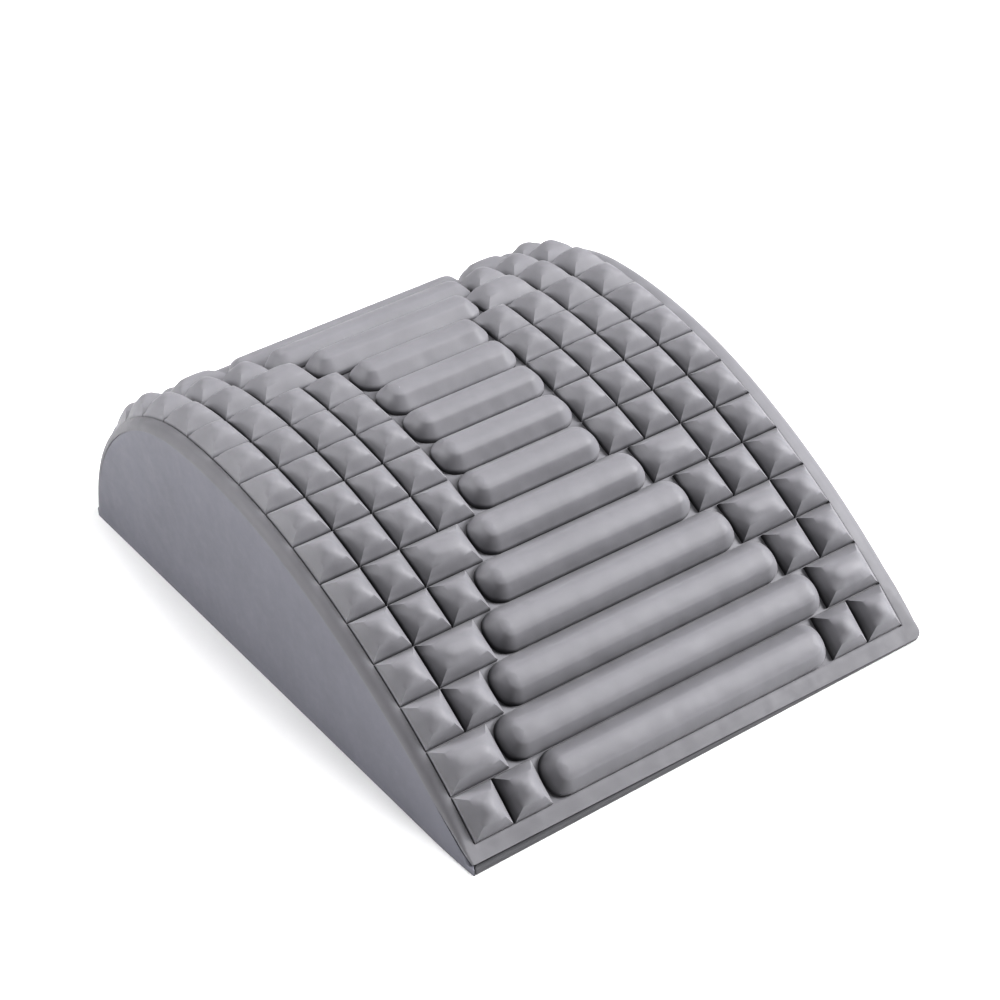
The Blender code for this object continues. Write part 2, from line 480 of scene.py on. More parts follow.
@dataclass(frozen=True)
class SideLine:
    """The line of the mat's smooth surface in the side view.

    It is a short lip and a chain of tangent arcs, as in the CAD. A place on it
    is given by the length along it from the front edge.

    Args:
        front: y of the front edge.
        base_top: Height of the base sheet's upper face.
        joint: Gap of a bonded joint in the CAD.
        lip_edge: Height of the front edge over the mat's end.
        lip_depth: Depth of the lip, measured along the floor.
        lip_slope: Slope of the lip.
        front_slope: Slope at which the first arc starts.
        arcs: Radius and turn of each arc, from the front.
    """

    front: float
    base_top: float
    joint: float = 0.0003
    lip_edge: float = 0.0008
    lip_depth: float = 0.0070
    lip_slope: float = math.radians(28.5)
    front_slope: float = math.radians(41.8)
    arcs: tuple[tuple[float, float], ...] = (
        (0.382, math.radians(22.2)),
        (0.262, math.radians(23.0)),
        (0.1005, math.radians(85.0)),
    )

    @property
    def texture_start(self) -> float:
        """Length at which the lip ends and the massage rows start."""
        return self.lip_depth / math.cos(self.lip_slope)

    @property
    def mat_floor(self) -> float:
        """Height at which the mat ends, over the base sheet."""
        return self.base_top + self.joint

    @cached_property
    def segments(self) -> list[tuple[float, Vector, float, float]]:
        """The stretches of the line.

        Returns:
            Start length, start point (y, z), slope and radius of each, radius 0 if straight.
        """
        start = Vector((self.front, self.mat_floor + self.lip_edge))
        found = [(0.0, start, self.lip_slope, 0.0)]
        place = start + Vector((self.lip_depth, self.lip_depth * math.tan(self.lip_slope)))
        length = self.texture_start
        slope = self.front_slope
        for radius, turn in self.arcs:
            found.append((length, place, slope, radius))
            place = self.arc_end(place, slope, radius, turn)
            slope -= turn
            length += radius * turn
        found.append((length, place, slope, 0.0))
        return found

    @cached_property
    def length(self) -> float:
        """Full length of the line down to the floor."""
        start, place, slope, _ = self.segments[-1]
        return start + place.y / max(-math.sin(slope), 0.1)

    @staticmethod
    def arc_end(place: Vector, slope: float, radius: float, turn: float) -> Vector:
        """Where an arc ends that bends down from a slope.

        Args:
            place: Its start point (y, z).
            slope: Its slope at the start.
            radius: Its radius.
            turn: The angle that it turns down by.

        Returns:
            The end point (y, z).
        """
        end = slope - turn
        run = radius * (math.sin(slope) - math.sin(end))
        rise = radius * (math.cos(end) - math.cos(slope))
        return place + Vector((run, rise))

    def point(self, length: float, height: float) -> Vector:
        """The point (y, z) at a height over the line.

        Args:
            length: The length along the line.
            height: The height over it, negative below.

        Returns:
            The point in the side view.
        """
        start, place, slope, radius = [s for s in self.segments if s[0] <= length + SMALL][-1]
        along = length - start
        if radius:
            place = self.arc_end(place, slope, radius, along / radius)
            slope -= along / radius
        else:
            place = place + along * Vector((math.cos(slope), math.sin(slope)))
        if abs(length - self.texture_start) < SMALL:
            slope = (self.lip_slope + self.front_slope) / 2
        return place + height * Vector((-math.sin(slope), math.cos(slope)))

    def lay_over(self, piece: Object) -> None:
        """Lay a flat mesh over the line.

        Args:
            piece: The mesh, with x across, y along the line and z the height over it.
        """
        for vertex in piece.data.vertices:
            place = self.point(vertex.co.y, vertex.co.z)
            vertex.co = Vector((vertex.co.x, place.x, place.y))
        piece.data.update()


@dataclass(frozen=True)
class Tile:
    """Where one massage form goes on the flat mat, and how wide it is.

    Args:
        x: Place of its middle across the mat.
        y: Place of its middle along the mat.
        across: Its size across the mat.
    """

    x: float
    y: float
    across: float


@dataclass(frozen=True)
class MassageLayout:
    """Where the cells and ribs lie on the flat mat.

    Args:
        start: Length at which the first row starts.
        half_width: Half the mat's width.
        side_border: Width of the plain border at each side.
        cell_pitch: Width of a square cell with its groove.
        row_pitch: Depth of a row with its groove.
        groove: Width of a groove's floor.
        rows: How many rows there are.
        front_rows: Cell widths of the first and last rows, in pitches, from the side inwards.
        waist_row: Cell widths of the rows between them.
    """

    start: float
    half_width: float
    side_border: float = 0.0060
    cell_pitch: float = 0.0216
    row_pitch: float = 0.0229
    groove: float = 0.0006
    rows: int = 17
    front_rows: tuple[tuple[float, ...], ...] = (
        (1, 1), (1.5,), (1, 1), (1, 1.5), (1, 1, 1), (1, 1, 1.5),
    )
    waist_row: tuple[float, ...] = (1, 1, 1, 1)

    @property
    def half_texture(self) -> float:
        """Half the width of the massage field."""
        return self.half_width - self.side_border

    @property
    def end(self) -> float:
        """Length at which the last row ends."""
        return self.start + self.rows * self.row_pitch

    @property
    def form_depth(self) -> float:
        """Size of every form along the mat, between two grooves."""
        return self.row_pitch - self.groove

    def row_middle(self, row: int) -> float:
        """Place of a row's middle along the mat."""
        return self.start + (row + 0.5) * self.row_pitch

    def row_widths(self, row: int) -> tuple[float, ...]:
        """Cell widths of a row, in pitches, from its outer edge to its rib."""
        from_end = min(row, self.rows - 1 - row)
        return self.front_rows[from_end] if from_end < len(self.front_rows) else self.waist_row

    def cells(self) -> Iterator[Tile]:
        """Every cell of the mat, row by row.

        Yields:
            The next cell.
        """
        for row in range(self.rows):
            for side in Side:
                reach = self.half_texture
                for width in self.row_widths(row):
                    across = width * self.cell_pitch
                    yield Tile(side.value * (reach - across / 2), self.row_middle(row), across - self.groove)
                    reach -= across

    def ribs(self) -> Iterator[Tile]:
        """Every rib of the mat, one in a row.

        Yields:
            The next rib.
        """
        for row in range(self.rows):
            reach = self.half_texture - sum(self.row_widths(row)) * self.cell_pitch
            yield Tile(0.0, self.row_middle(row), 2 * reach - self.groove)


# Finishes


@dataclass(frozen=True)
class NodeBench:
    """A node tree, with short ways to add nodes to it.

    Args:
        tree: The node tree of a material or a world.
        ramp_ends: Noise values at which a ramp is darkest and lightest.
    """

    tree: NodeTree
    ramp_ends: tuple[float, float] = (0.36, 0.64)

    @cached_property
    def place(self) -> NodeSocket:
        """The object's own coordinates."""
        return self.tree.nodes.new("ShaderNodeTexCoord").outputs["Object"]

    def fit(self, node: Node, values: Values, links: Links) -> Node:
        """Set and link a node's inputs.

        Args:
            node: The node.
            values: Fixed values, by the names of the inputs.
            links: Sockets that feed inputs, by the names of the inputs.

        Returns:
            The same node.
        """
        for name, value in values.items():
            node.inputs[name].default_value = value
        for name, source in links.items():
            self.tree.links.new(source, node.inputs[name])
        return node

    def add(self, kind: str, values: Values, links: Links) -> Node:
        """Add a node, and set and link its inputs.

        Args:
            kind: The node's type.
            values: Fixed values, by the names of the inputs.
            links: Sockets that feed inputs, by the names of the inputs.

        Returns:
            The new node.
        """
        return self.fit(self.tree.nodes.new(kind), values, links)

    def noise(self, size: float, detail: float) -> NodeSocket:
        """Add noise on the object's own coordinates.

        Args:
            size: Size of its features.
            detail: Finer layers of noise.

        Returns:
            The noise value.
        """
        values = {"Scale": 1.0 / size, "Detail": detail}
        return self.add("ShaderNodeTexNoise", values, {"Vector": self.place}).outputs["Fac"]

    def ramp(self, value: NodeSocket, dark: tuple[float, ...], light: tuple[float, ...]) -> NodeSocket:
        """Turn noise into a colour between two close tones.

        Args:
            value: The noise value.
            dark: The darker tone.
            light: The lighter tone.

        Returns:
            The colour.
        """
        node = self.add("ShaderNodeValToRGB", {}, {"Fac": value})
        for element, position, tone in zip(node.color_ramp.elements, self.ramp_ends, (dark, light)):
            element.position = position
            element.color = (*tone, 1.0)
        return node.outputs["Color"]

    def towards(self, body: NodeSocket, value: NodeSocket, span: tuple[float, float], most: float,
                tone: tuple[float, float, float]) -> NodeSocket:
        """Draw a colour towards another one as a value rises.

        Args:
            body: The colour to start from.
            value: The value that rises.
            span: Where the change starts and where it is full.
            most: Share of the other colour where it is full.
            tone: The other colour.

        Returns:
            The changed colour.
        """
        share = self.add("ShaderNodeMapRange", {"From Min": span[0], "From Max": span[1], "To Max": most},
                         {"Value": value})
        node = self.tree.nodes.new("ShaderNodeMix")
        node.data_type = 'RGBA'
        self.fit(node, {}, {"Factor": share.outputs["Result"]})
        start, end = (socket for socket in node.inputs if socket.type == 'RGBA')
        end.default_value = (*tone, 1.0)
        self.tree.links.new(body, start)
        return next(socket for socket in node.outputs if socket.type == 'RGBA')


def new_material(name: str) -> tuple[Material, NodeBench, Node]:
    """Start a node material.

    Args:
        name: Its name.

    Returns:
        The material, its node tree to work on and its shader.
    """
    material = bpy.data.materials.new(name)
    material.use_nodes = True
    return material, NodeBench(material.node_tree), material.node_tree.nodes["Principled BSDF"]


@dataclass(frozen=True)
class FoamFinish:
    """Satin skin of moulded rubber foam, with faint mottling and a fine grain.

    Args:
        name: The material's name.
        colour: The main colour, linear.
        shade: How much darker the mottled places are, from 0 to 1.
        roughness: Mean roughness.
        grain: Size of the grain.
        relief: Height of the grain.
        uneven: Height of the soft unevenness that moulded foam has.
        rubbed: How much lighter the worn ridges are.
        painted_feet_shade: Strength of the painted shade at the feet of the massage forms.
        sheen: Weight of the sheen.
        sheen_roughness: Roughness of the sheen.
        specular: Strength of the highlights.
        mottle: Size of the mottled places.
        cloud: Size of the finer clouding.
        cloud_share: How much of the mottling is clouding.
        wave: Size of the soft unevenness.
        bump: Strength of both reliefs.
        noise_ends: Noise values at which the roughness is lowest and highest.
        roughness_spread: How far the roughness strays from its mean.
        ridge_ends: How pointed a ridge is where its worn lightening starts, and where it is full.
        ridge_tone: The colour of worn foam.
        shade_colour: The near black colour that the painted shade draws the foam towards.
    """

    name: str
    colour: tuple[float, float, float]
    shade: float = 0.08
    roughness: float = 0.58
    grain: float = 0.0007
    relief: float = 0.00003
    uneven: float = 0.0012
    rubbed: float = 0.06
    # Painted shade at the feet of the forms, read from the mesh attribute
    painted_feet_shade: float = 0.0
    sheen: float = 0.08
    sheen_roughness: float = 0.55
    specular: float = 0.40
    mottle: float = 0.034
    cloud: float = 0.0035
    cloud_share: float = 0.35
    wave: float = 0.015
    bump: float = 0.6
    noise_ends: tuple[float, float] = (0.3, 0.7)
    roughness_spread: float = 0.06
    ridge_ends: tuple[float, float] = (0.50, 0.60)
    ridge_tone: tuple[float, float, float] = (0.85, 0.85, 0.87)
    shade_colour: tuple[float, float, float] = (0.004, 0.004, 0.005)

    def make(self) -> Material:
        """Build the node material.

        Returns:
            The finished material.
        """
        material, bench, shader = new_material(self.name)
        cloud = bench.noise(self.cloud, detail=4.0)
        mottle = bench.noise(self.mottle, detail=3.0)
        tone = bench.add("ShaderNodeMix", {"Factor": self.cloud_share}, {"A": mottle, "B": cloud})
        deep = tuple(part * (1.0 - self.shade) for part in self.colour)
        body = bench.ramp(tone.outputs["Result"], deep, self.colour)
        rough = bench.add("ShaderNodeMapRange", {
            "From Min": self.noise_ends[0],
            "From Max": self.noise_ends[1],
            "To Min": self.roughness - self.roughness_spread,
            "To Max": self.roughness + self.roughness_spread,
        }, {"Value": cloud})
        soft = bench.add("ShaderNodeBump", {"Strength": self.bump, "Distance": self.uneven},
                         {"Height": bench.noise(self.wave, detail=1.0)})
        fine = bench.add("ShaderNodeBump", {"Strength": self.bump, "Distance": self.relief},
                         {"Height": bench.noise(self.grain, detail=2.0), "Normal": soft.outputs["Normal"]})
        bench.fit(shader, {
            "Specular IOR Level": self.specular,
            "Sheen Weight": self.sheen,
            "Sheen Roughness": self.sheen_roughness,
        }, {
            "Base Color": self.wear_and_shade(bench, body),
            "Roughness": rough.outputs["Result"],
            "Normal": fine.outputs["Normal"],
        })
        return material

    def wear_and_shade(self, bench: NodeBench, body: NodeSocket) -> NodeSocket:
        """Lighten the rubbed ridges a little, and darken the feet of the massage forms with painted shade.

        Args:
            bench: The material's node tree.
            body: The colour of the untouched foam.

        Returns:
            The colour with worn ridges and painted shade.
        """
        pointed = bench.add("ShaderNodeNewGeometry", {}, {}).outputs["Pointiness"]
        rubbed = bench.towards(body, pointed, self.ridge_ends, self.rubbed, self.ridge_tone)
        # Painted shade: the attribute draws the feet of the forms towards near black, where shadow falls
        feet = bench.add("ShaderNodeAttribute", {}, {})
        feet.attribute_name = GROOVE_SHADE_ATTRIBUTE
        return bench.towards(rubbed, feet.outputs["Fac"], (0.0, 1.0), self.painted_feet_shade, self.shade_colour)


# Massage forms


@dataclass(frozen=True)
class MassageCell:
    """A blunt pyramid of the mat, modelled once and copied to every place.

    Args:
        across: Size across the mat.
        along: Size along the mat.
        foot: Depth of the groove floor under the smooth surface.
        steps: Inset and rise of each ring, from the foot up.
        hip_creases: Creases of the hips between the rings, from the foot up.
        foot_crease: Crease of the lowest ring.
        levels: How many times it is subdivided.
    """

    across: float
    along: float
    foot: float
    steps: tuple[tuple[float, float], ...] = (
        (0.0003, 0.0020), (0.0028, 0.0036), (0.0030, 0.0032), (0.0026, 0.0014),
    )
    hip_creases: tuple[float, ...] = (1.0, 0.9, 0.65, 0.2)
    foot_crease: float = 0.75
    levels: int = 2

    def model(self, name: str) -> Object:
        """Model the pyramid round the origin, with its open rim on the groove floor.

        Args:
            name: The object's name.

        Returns:
            The open shell.
        """
        piece = start_shape(bpy.ops.mesh.primitive_plane_add, name, (self.across, self.along, 1.0),
                            (0.0, 0.0, -self.foot))
        for inset, rise in self.steps:
            bpy.ops.mesh.inset(thickness=inset, depth=rise, use_even_offset=True)
        level = -self.foot
        for (_, rise), crease in zip(self.steps, self.hip_creases):
            level += rise
            crease_edges(piece, lambda edge: self.is_hip(edge) and abs(self.top_of(edge) - level) < SMALL,
                         crease)
        first = self.steps[0][1] - self.foot
        crease_edges(piece, lambda edge: not self.is_hip(edge)
                     and abs(self.top_of(edge) - first) < SMALL, self.foot_crease)
        end_edit()
        subdivide_smoothly(piece, self.levels)
        return piece

    @staticmethod
    def is_hip(edge: BMEdge) -> bool:
        """True for an edge that climbs from one ring to the next."""
        return abs(edge.verts[0].co.z - edge.verts[1].co.z) > SMALL

    @staticmethod
    def top_of(edge: BMEdge) -> float:
        """Height of an edge's upper end."""
        return max(vertex.co.z for vertex in edge.verts)


@dataclass(frozen=True)
class MassageRib:
    """A loaf-shaped rib with round ends, modelled short and drawn out to length.

    Args:
        along: Size along the mat, which is twice the end's radius.
        foot: Depth of the groove floor under the smooth surface.
        half_straight: Half the length between its ends as modelled.
        waist: Distance of its inner cuts from the middle.
        points: Points of the circle that it starts from.
        squareness: Form of its ends: 2 is round, and more is squarer.
        steps: Inset and rise of each ring, from the foot up.
        foot_crease: Crease of the lowest ring.
        shoulder_crease: Crease of the ring at its shoulder.
        levels: How many times it is subdivided.
    """

    along: float
    foot: float
    half_straight: float = 0.0060
    waist: float = 0.0020
    points: int = 16
    squareness: float = 2.3
    steps: tuple[tuple[float, float], ...] = (
        (0.0003, 0.0022), (0.0026, 0.0031), (0.0026, 0.0029), (0.0022, 0.0011), (0.0024, 0.0003),
    )
    foot_crease: float = 0.6
    shoulder_crease: float = 0.95
    levels: int = 2

    @property
    def model_length(self) -> float:
        """Length of the rib as it is modelled, before it is drawn out."""
        return 2 * self.half_straight + self.along

    def model(self, name: str) -> Object:
        """Model the rib round the origin, with its open rim on the groove floor.

        Args:
            name: The object's name.

        Returns:
            The open shell.
        """
        radius = self.along / 2 / math.cos(math.pi / self.points)
        bpy.ops.object.select_all(action='DESELECT')
        bpy.ops.mesh.primitive_circle_add(vertices=self.points, radius=radius, fill_type='NGON')
        piece = name_piece(bpy.context.object, name)
        start_edit(piece)
        bpy.ops.mesh.select_all(action='SELECT')
        bpy.ops.transform.rotate(value=math.pi / self.points, orient_axis='Z',
                                 center_override=(0.0, 0.0, 0.0))
        self.square_up(piece, radius)
        bpy.ops.transform.translate(value=(0.0, 0.0, -self.foot))
        for side in Side:
            select(piece, Part.VERT, lambda vertex: vertex.co.x * side.value > SMALL)
            bpy.ops.transform.translate(value=(side.value * self.half_straight, 0.0, 0.0))
        for x in (-self.half_straight, -self.waist, self.waist, self.half_straight):
            cut_at(Axis.X, x)
        bpy.ops.mesh.select_mode(type='FACE')
        bpy.ops.mesh.select_all(action='SELECT')
        for inset, rise in self.steps:
            bpy.ops.mesh.inset(thickness=inset, depth=rise, use_even_offset=True)
        first = self.steps[0][1] - self.foot
        shoulder = sum(rise for _, rise in self.steps[:3]) - self.foot
        for level, amount in ((first, self.foot_crease), (shoulder, self.shoulder_crease)):
            crease_edges(piece, lambda edge: all(abs(v.co.z - level) < SMALL for v in edge.verts), amount)
        end_edit()
        subdivide_smoothly(piece, self.levels)
        return piece

    def square_up(self, piece: Object, radius: float) -> None:
        """Push the circle's points out towards a square, as the rib's ends are a little squarer than round.

        Args:
            piece: The circle, open in edit mode.
            radius: Its radius.
        """
        for vertex in bmesh.from_edit_mesh(piece.data).verts:
            for axis in (Axis.X.value, Axis.Y.value):
                part = abs(vertex.co[axis]) / radius
                vertex.co[axis] = math.copysign(radius * part ** (2.0 / self.squareness), vertex.co[axis])
        bmesh.update_edit_mesh(piece.data)

    def drawn_out(self, template: Object, tile: Tile) -> Object:
        """Copy the modelled rib to its place, drawn out between its round ends.

        Args:
            template: The rib as modelled.
            tile: Where the copy goes, and how long it is.

        Returns:
            The copy.
        """
        piece = copy_of(template, tile)
        for side in Side:
            shift = side.value * (tile.across - self.model_length) / 2
            for vertex in piece.data.vertices:
                if vertex.co.x * side.value > SMALL:
                    vertex.co.x += shift
        return piece


def copy_of(piece: Object, tile: Tile) -> Object:
    """Copy a modelled form, with a mesh of its own.

    Args:
        piece: The form as modelled.
        tile: Where the copy goes.

    Returns:
        The copy.
    """
    twin = piece.copy()
    twin.data = piece.data.copy()
    twin.location = (tile.x, tile.y, 0.0)
    bpy.context.scene.collection.objects.link(twin)
    return twin


# The mat


@dataclass(frozen=True)
class MatEdge:
    """The mat's rounded side edge, which is almost sharp at the lip and grows up the slope.

    Args:
        radius: Depth of the full rounding.
        spread: Its reach across, as a share of its depth.
        front_share: What is left of it at the front edge.
        starts: Length along the mat where it starts to grow.
        grown: Length along the mat where it is full.
        segments: Steps of the rounding.
        rebate: Width of the strip that the side skin takes up under the mat.
        under: How far the seam with the skin lies under the rounding.
    """

    radius: float = 0.0048
    spread: float = 1.18
    front_share: float = 0.12
    starts: float = 0.0010
    grown: float = 0.0340
    segments: int = 7
    rebate: float = 0.0021
    under: float = 0.0002

    def share_at(self, length: float) -> float:
        """How much of the full rounding there is at a length along the mat."""
        part = limited((length - self.starts) / (self.grown - self.starts))
        return self.front_share + (1.0 - self.front_share) * part

    def seam_depth(self, length: float) -> float:
        """Depth of the mat's lower edge under its surface, at a length along the mat."""
        return self.radius * self.share_at(length) + self.under


@dataclass(frozen=True)
class MassageMat:
    """The soft mat with its lip, rounded side edges, massage forms and grooves.

    Args:
        line: The side line that it is laid over.
        layout: Where its forms lie.
        edge: Its rounded side edges.
        footprint: The pillow's outline on the floor.
        finish: The foam's finish.
        thickness: Thickness of the sheet under the forms.
        groove_depth: Depth of the groove floor under the smooth surface.
        rim_rounding: Rounding at the rim of the massage field.
        shade_height: Height over the groove floor up to which a form gets painted shade.
        shaded_reach: The same on flanks that face left.
        shaded_more: How much higher that is in the lowest rows.
        low_rows: Length over which it comes down to shaded_reach.
        lip_share: Strength of the painted shade at the feet along the lip, where the others have 1.
        lip_reach: How far they reach, as a share of a row.
        leaning_left: Lean from which a flank there is dark like the others.
        plain_border: Strength of the painted shade on the plain border, where the feet have 1.
        border_fade: Length over which that painted shade fades out up the right border.
        border_cuts: Where the border is cut along its length, measured from the side.
        lip_cuts: Where the lip is cut across, measured from the front edge.
        row_parts: Parts that a row is cut into.
        tail_step: About how far apart the plain back's cuts are.
    """

    line: SideLine
    layout: MassageLayout
    edge: MatEdge
    footprint: Footprint
    finish: FoamFinish
    thickness: float = 0.0050
    groove_depth: float = 0.0012
    rim_rounding: float = 0.0002
    shade_height: float = 0.0011
    shaded_reach: float = 0.0027
    shaded_more: float = 0.0036
    low_rows: float = 0.1500
    lip_share: float = 0.15
    lip_reach: float = 0.25
    leaning_left: float = 0.5
    plain_border: float = 0.23
    border_fade: float = 0.0800
    border_cuts: tuple[float, ...] = (0.0052, 0.0055, 0.0058)
    lip_cuts: tuple[float, ...] = (0.0003, 0.0006, 0.0009, 0.0012, 0.0020, 0.0028, 0.0035, 0.0050, 0.0065)
    row_parts: int = 4
    tail_step: float = 0.0040

    def stations(self) -> list[float]:
        """Lengths along the mat where its sheet is cut across, so that it bends there.

        Returns:
            The lengths, from the front.
        """
        part = self.layout.row_pitch / self.row_parts
        lengths = list(self.lip_cuts)
        lengths += [self.layout.start + part * step for step in range(self.layout.rows * self.row_parts + 1)]
        tail = self.line.length - self.layout.end
        steps = max(round(tail / self.tail_step), 1)
        lengths += [self.layout.end + tail * step / steps for step in range(1, steps)]
        return lengths

    def model_sheet(self) -> Object:
        """Model the flat sheet with rounded side edges and an open pocket for the forms.

        Returns:
            The sheet, with an open loop on the groove floor.
        """
        half = self.layout.half_width
        sheet = start_shape(bpy.ops.mesh.primitive_cube_add, "massage_mat_foam",
                            (2 * half, self.line.length, self.thickness),
                            (0.0, self.line.length / 2, -self.thickness / 2))
        select(sheet, Part.EDGE, lambda edge: all(v.co.z > -SMALL for v in edge.verts)
               and edge.verts[0].co.x * edge.verts[1].co.x > 0)
        bpy.ops.mesh.bevel(offset=self.edge.radius, segments=self.edge.segments, affect='EDGES')
        for side in Side:
            for inwards in (self.layout.side_border, *self.border_cuts, self.edge.rebate):
                cut_at(Axis.X, side.value * (half - inwards))
        for length in self.stations():
            cut_at(Axis.Y, length)
        self.sink_pocket(sheet)
        end_edit()
        for vertex in sheet.data.vertices:
            self.shape_border(vertex)
        return sheet

    def sink_pocket(self, sheet: Object) -> None:
        """Sink the massage field to the groove floor, round its rim and open its floor.

        Args:
            sheet: The sheet, open in edit mode.
        """
        field_half = self.layout.half_texture
        start, end = self.layout.start, self.layout.end

        def in_field(point: Vector) -> bool:
            """True for a point of the smooth surface on the field or its rim."""
            return (abs(point.z) < SMALL and abs(point.x) < field_half + SMALL
                    and start - SMALL < point.y < end + SMALL)

        select(sheet, Part.FACE, lambda face: face.normal.z > ALONG_AXIS
               and in_field(face.calc_center_median()))
        bpy.ops.mesh.extrude_region_move(TRANSFORM_OT_translate={"value": (0.0, 0.0, -self.groove_depth)})
        bpy.ops.mesh.delete(type='FACE')
        select(sheet, Part.EDGE, lambda edge: is_hard(edge) and all(in_field(v.co) for v in edge.verts))
        bpy.ops.mesh.bevel(offset=self.rim_rounding, segments=2, affect='EDGES')

    def shape_border(self, vertex: MeshVertex) -> None:
        """Let the rounded side edge fade to a crease at the front, and round the lip's corners.

        Args:
            vertex: A point of the flat sheet.
        """
        half = self.layout.half_width
        x, length, height = vertex.co
        inwards = half - abs(x)
        share = self.edge.share_at(length)
        border = self.layout.side_border
        if inwards < border and height > -self.edge.radius - SMALL:
            reach = self.edge.radius * self.edge.spread * share
            if inwards <= self.edge.radius + SMALL:
                inwards *= self.edge.spread * share
                height *= share
            else:
                part = (inwards - self.edge.radius) / (border - self.edge.radius)
                inwards = reach + part * (border - reach)
            x = math.copysign(half - inwards, x)
        elif inwards < self.edge.rebate + SMALL:
            height = -self.edge.seam_depth(length)
        corner = self.footprint.front_radius(x)
        x, length = round_corner(x, length, half, corner, corner)
        vertex.co = Vector((x, length, height))

    def model_forms(self) -> list[Object]:
        """Model a cell of each width and a rib once, and copy them to their places.

        Returns:
            The open shells of all massage forms on the flat mat.
        """
        forms = []
        templates: dict[float, Object] = {}
        for tile in self.layout.cells():
            width = round(tile.across, 6)
            if width not in templates:
                cell = MassageCell(tile.across, self.layout.form_depth, self.groove_depth)
                templates[width] = cell.model("massage_cell")
            forms.append(copy_of(templates[width], tile))
        rib = MassageRib(self.layout.form_depth, self.groove_depth)
        rib_template = rib.model("massage_rib")
        forms += [rib.drawn_out(rib_template, tile) for tile in self.layout.ribs()]
        for template in (*templates.values(), rib_template):
            bpy.data.objects.remove(template, do_unlink=True)
        return forms

    def paint_groove_shade(self, mat: Object) -> None:
        """Note on each corner of the flat mat's faces how much painted shade its foam gets.

        Args:
            mat: The flat mat with its forms.
        """
        # Painted shade: darker near the groove floor, higher up on flanks that face left where the left
        # neighbour's shadow falls, weaker along the lip, and on the plain border
        attribute = mat.data.attributes.new(GROOVE_SHADE_ATTRIBUTE, 'FLOAT', 'CORNER')
        layout = self.layout
        outermost = layout.cell_pitch / 2 - layout.half_texture
        for face in mat.data.polygons:
            x, length, _ = face.center
            points = [mat.data.vertices[point].co for point in face.vertices]
            leaning = max(-face.normal.x, 0.0) if x > outermost else 0.0
            shaded = self.shaded_reach + limited(1.0 - length / self.low_rows) * self.shaded_more
            reach = self.shade_height + leaning * (shaded - self.shade_height)
            most = 1.0
            if max(point.z for point in points) < SMALL - self.groove_depth:
                most = 0.0
            elif length < layout.start + self.lip_reach * layout.row_pitch and leaning < self.leaning_left:
                most = self.lip_share
            inside = abs(x) < layout.half_texture and layout.start < length < layout.end
            for corner, point in zip(face.loop_indices, points):
                feet = most * limited(1.0 - (point.z + self.groove_depth) / reach)
                attribute.data[corner].value = feet if inside else self.painted_border_shade(point)

    def painted_border_shade(self, point: Vector) -> float:
        """How much painted shade the plain border gets at a point, which fades out up the right side."""
        past_lip = (point.y - self.layout.start) / self.border_fade if point.x > 0.0 else 0.0
        return self.plain_border * limited(1.0 - past_lip)

    def build(self) -> Object:
        """Model, join, lay over and dress the mat.

        Returns:
            The finished mat.
        """
        mat = self.model_sheet()
        forms = self.model_forms()
        bpy.ops.object.select_all(action='DESELECT')
        for form in forms:
            form.select_set(True)
        mat.select_set(True)
        bpy.context.view_layer.objects.active = mat
        bpy.ops.object.join()
        start_edit(mat)
        select(mat, Part.EDGE, lambda edge: edge.is_boundary)
        bpy.ops.mesh.fill(use_beauty=True)
        end_edit()
        self.paint_groove_shade(mat)
        self.line.lay_over(mat)
        self.footprint.widen_right_border(mat)
        start_edit(mat)
        cut_off_below(self.line.mat_floor, fill=True)
        tidy_open_mesh()
        end_edit()
        self.footprint.press_front(mat)
        smooth_by_angle(mat, 42.0)
        mat.data.materials.clear()
        mat.data.materials.append(self.finish.make())
        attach(mat, "root")
        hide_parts("massage_mat")
        return mat


# The wedge, the skins and the base


@dataclass(frozen=True)
class FoamWedge:
    """The foam wedge that gives the pillow its arch, under the mat.

    Args:
        line: The side line of the mat's surface.
        stations: Lengths along the line where the wedge's top bends.
        half_width: Half the wedge's width.
        depth: How far its top lies under the mat's surface.
        finish: The foam's finish.
        edge_rounding: Rounding of its side edges.
    """

    line: SideLine
    stations: list[float]
    half_width: float
    depth: float
    finish: FoamFinish
    edge_rounding: float = 0.0006

    def build(self) -> Object:
        """Model and dress the wedge.

        Returns:
            The finished wedge.
        """
        wedge = strip_over_line(self.line, self.stations, -self.half_width, self.half_width,
                                lambda length: self.depth, "foam_wedge")
        start_edit(wedge)
        cut_off_below(self.line.mat_floor, fill=False)
        drop_to_level(wedge, self.line.mat_floor)
        select(wedge, Part.EDGE, lambda edge: is_hard(edge)
               and all(abs(abs(v.co.x) - self.half_width) < SMALL for v in edge.verts))
        bpy.ops.mesh.bevel(offset=self.edge_rounding, segments=2, affect='EDGES')
        tidy_open_mesh()
        face_outwards(wedge)
        end_edit()
        smooth_by_angle(wedge, 40.0)
        wedge.data.materials.append(self.finish.make())
        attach(wedge, "root")
        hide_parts("foam_core")
        return wedge


def strip_over_line(line: SideLine, stations: list[float], left: float, right: float,
                    depth_at: Callable[[float], float], name: str) -> Object:
    """Model a flat strip and lay it under the mat's surface.

    Args:
        line: The side line.
        stations: Lengths along the line where the strip is cut, so that it bends.
        left: Its lowest x.
        right: Its highest x.
        depth_at: Depth under the surface at a length.
        name: The object's name.

    Returns:
        The open strip.
    """
    strip = start_shape(bpy.ops.mesh.primitive_plane_add, name, (right - left, line.length, 1.0),
                        ((left + right) / 2, line.length / 2, 0.0))
    for length in stations:
        cut_at(Axis.Y, length)
    end_edit()
    for vertex in strip.data.vertices:
        vertex.co.z = -depth_at(vertex.co.y)
    line.lay_over(strip)
    return strip


